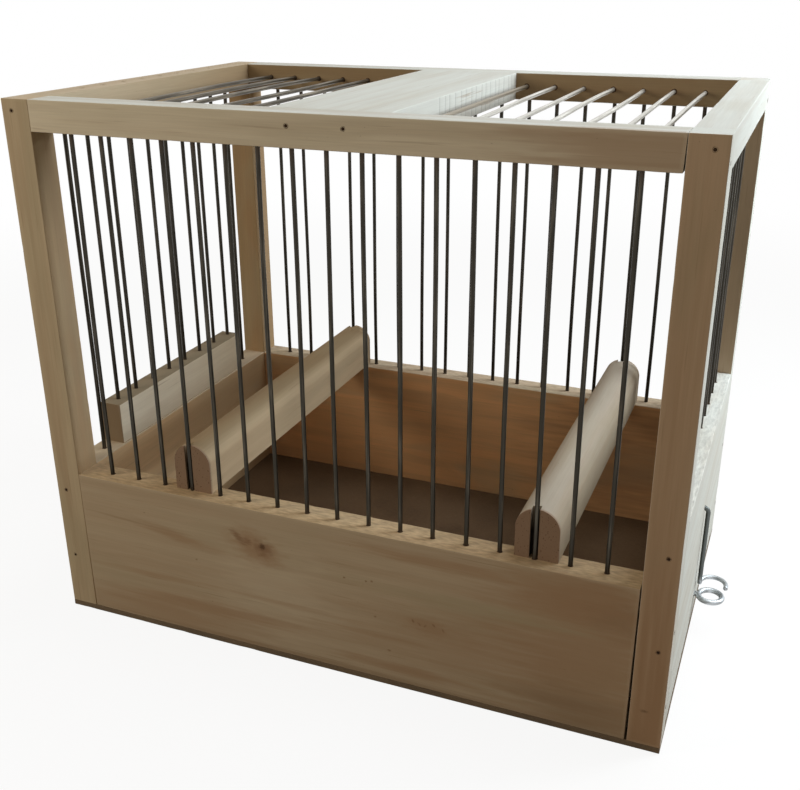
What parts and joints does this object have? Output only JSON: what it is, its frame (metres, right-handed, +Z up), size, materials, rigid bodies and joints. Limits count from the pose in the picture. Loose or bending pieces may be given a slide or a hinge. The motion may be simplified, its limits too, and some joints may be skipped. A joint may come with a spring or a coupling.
{
  "type": "songbird cage",
  "caption": "Small nailed wooden songbird cage with wire bars, a lifting door in one side, a pull-out tray with eye and hook in the other, and round-topped perches.",
  "frame": {"origin": "centre of the base plate's underside, on the surface that the cage stands on", "axes": "+Z up, +X to the right of someone who faces the front, towards the tray's pull eye; the front faces -Y"},
  "size_m": [0.3156, 0.2002, 0.255],
  "materials": {
    "pale_wood": "raw sawn, unvarnished",
    "hardboard": "smooth pressed face",
    "bar_wire": "drawn, dull",
    "zinc_wire": "zinc plated, dulled",
    "nail_steel": "darkened"
  },
  "bodies": {
    "frame": {"base_plate": "hardboard", "post_front_left": "pale_wood", "post_front_right": "pale_wood", "post_back_left": "pale_wood", "post_back_right": "pale_wood", "front_rail": "pale_wood", "back_rail": "pale_wood", "left_rail": "pale_wood", "right_rail": "pale_wood", "front_board": "pale_wood", "back_board": "pale_wood", "left_panel": "pale_wood", "right_panel": "pale_wood", "roof_board": "pale_wood", "front_wires": "bar_wire", "back_wires": "bar_wire", "left_wire_front": "bar_wire", "left_wire_back": "bar_wire", "right_wires": "bar_wire", "roof_wires_left": "bar_wire", "roof_wires_right": "bar_wire", "front_nails": "nail_steel", "back_nails": "nail_steel", "left_nails": "nail_steel", "right_nails": "nail_steel", "base_nails": "nail_steel"},
    "door": {"door_bar": "pale_wood", "door_wires": "bar_wire"},
    "tray": {"tray_floor": "hardboard", "tray_front": "pale_wood", "tray_nails": "nail_steel", "pull_eye": "zinc_wire"},
    "hook": {"tray_hook": "zinc_wire"},
    "left_perch": {"perch_left": "pale_wood"},
    "right_perch": {"perch_right": "pale_wood"}
  },
  "joints": [
    {"name": "door_lift", "type": "slide", "parent": "frame", "child": "door", "axis": [0, 0, 1], "range_m": [0, 0.141]},
    {"name": "tray_slide", "type": "slide", "parent": "frame", "child": "tray", "axis": [1, 0, 0], "range_m": [0, 0.22]},
    {"name": "hook_swing", "type": "hinge", "parent": "frame", "child": "hook", "pos_m": [0.15, 0, 0.0665], "axis": [1, 0, 0], "continuous": true},
    {"name": "left_perch_lift", "type": "slide", "parent": "frame", "child": "left_perch", "axis": [0, 0, 1], "range_m": [0, 0.138]},
    {"name": "right_perch_lift", "type": "slide", "parent": "frame", "child": "right_perch", "axis": [0, 0, 1], "range_m": [0, 0.138]}
  ]
}
